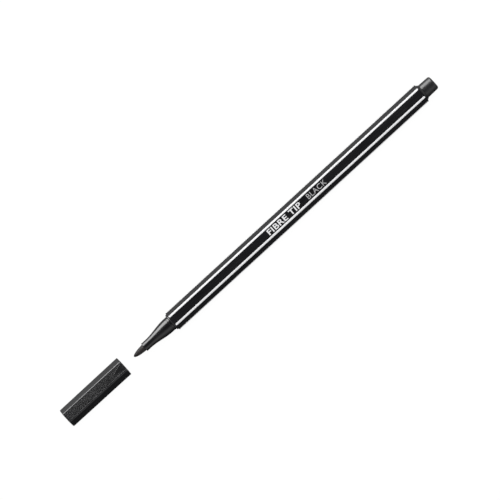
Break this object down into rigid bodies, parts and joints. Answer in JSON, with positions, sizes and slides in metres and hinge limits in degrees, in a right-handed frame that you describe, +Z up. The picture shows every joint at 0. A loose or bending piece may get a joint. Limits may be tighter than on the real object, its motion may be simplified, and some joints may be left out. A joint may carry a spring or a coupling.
{
  "type": "fibre-tip pen",
  "caption": "Slim hexagonal fibre-tip pen with white-striped edges, a conical nib holder, a round rear plug and a hexagonal slide-on cap.",
  "frame": {"origin": "on the surface that the pen lies on, under the middle of the whole assembly with its cap pulled off", "axes": "+X along the pen from the cap's closed end to the rear plug, +Z up out of the barrel's upper facet, +Y across the pen"},
  "size_m": [0.192, 0.0084, 0.0074],
  "materials": {
    "barrel_plastic": "satin",
    "stripe_white": "satin",
    "grip_plastic": "gloss",
    "cap_plastic": "satin",
    "seal_plastic": "satin",
    "nib_felt": "matte",
    "ink_fibre": "matte",
    "wrap_film": "gloss"
  },
  "bodies": {
    "pen": {"barrel": "barrel_plastic", "edge_stripe_1": "stripe_white", "edge_stripe_2": "stripe_white", "edge_stripe_3": "stripe_white", "edge_stripe_4": "stripe_white", "edge_stripe_5": "stripe_white", "edge_stripe_6": "stripe_white", "nib_holder": "grip_plastic", "nib": "nib_felt", "ink_reservoir": "ink_fibre", "reservoir_wrap": "wrap_film", "rear_plug": "grip_plastic"},
    "cap": {"cap_shell": "cap_plastic", "cap_inner_seal": "seal_plastic"}
  },
  "joints": [
    {"name": "cap_slide", "type": "slide", "parent": "pen", "child": "cap", "axis": [1, 0, 0], "range_m": [0, 0.0246]}
  ]
}
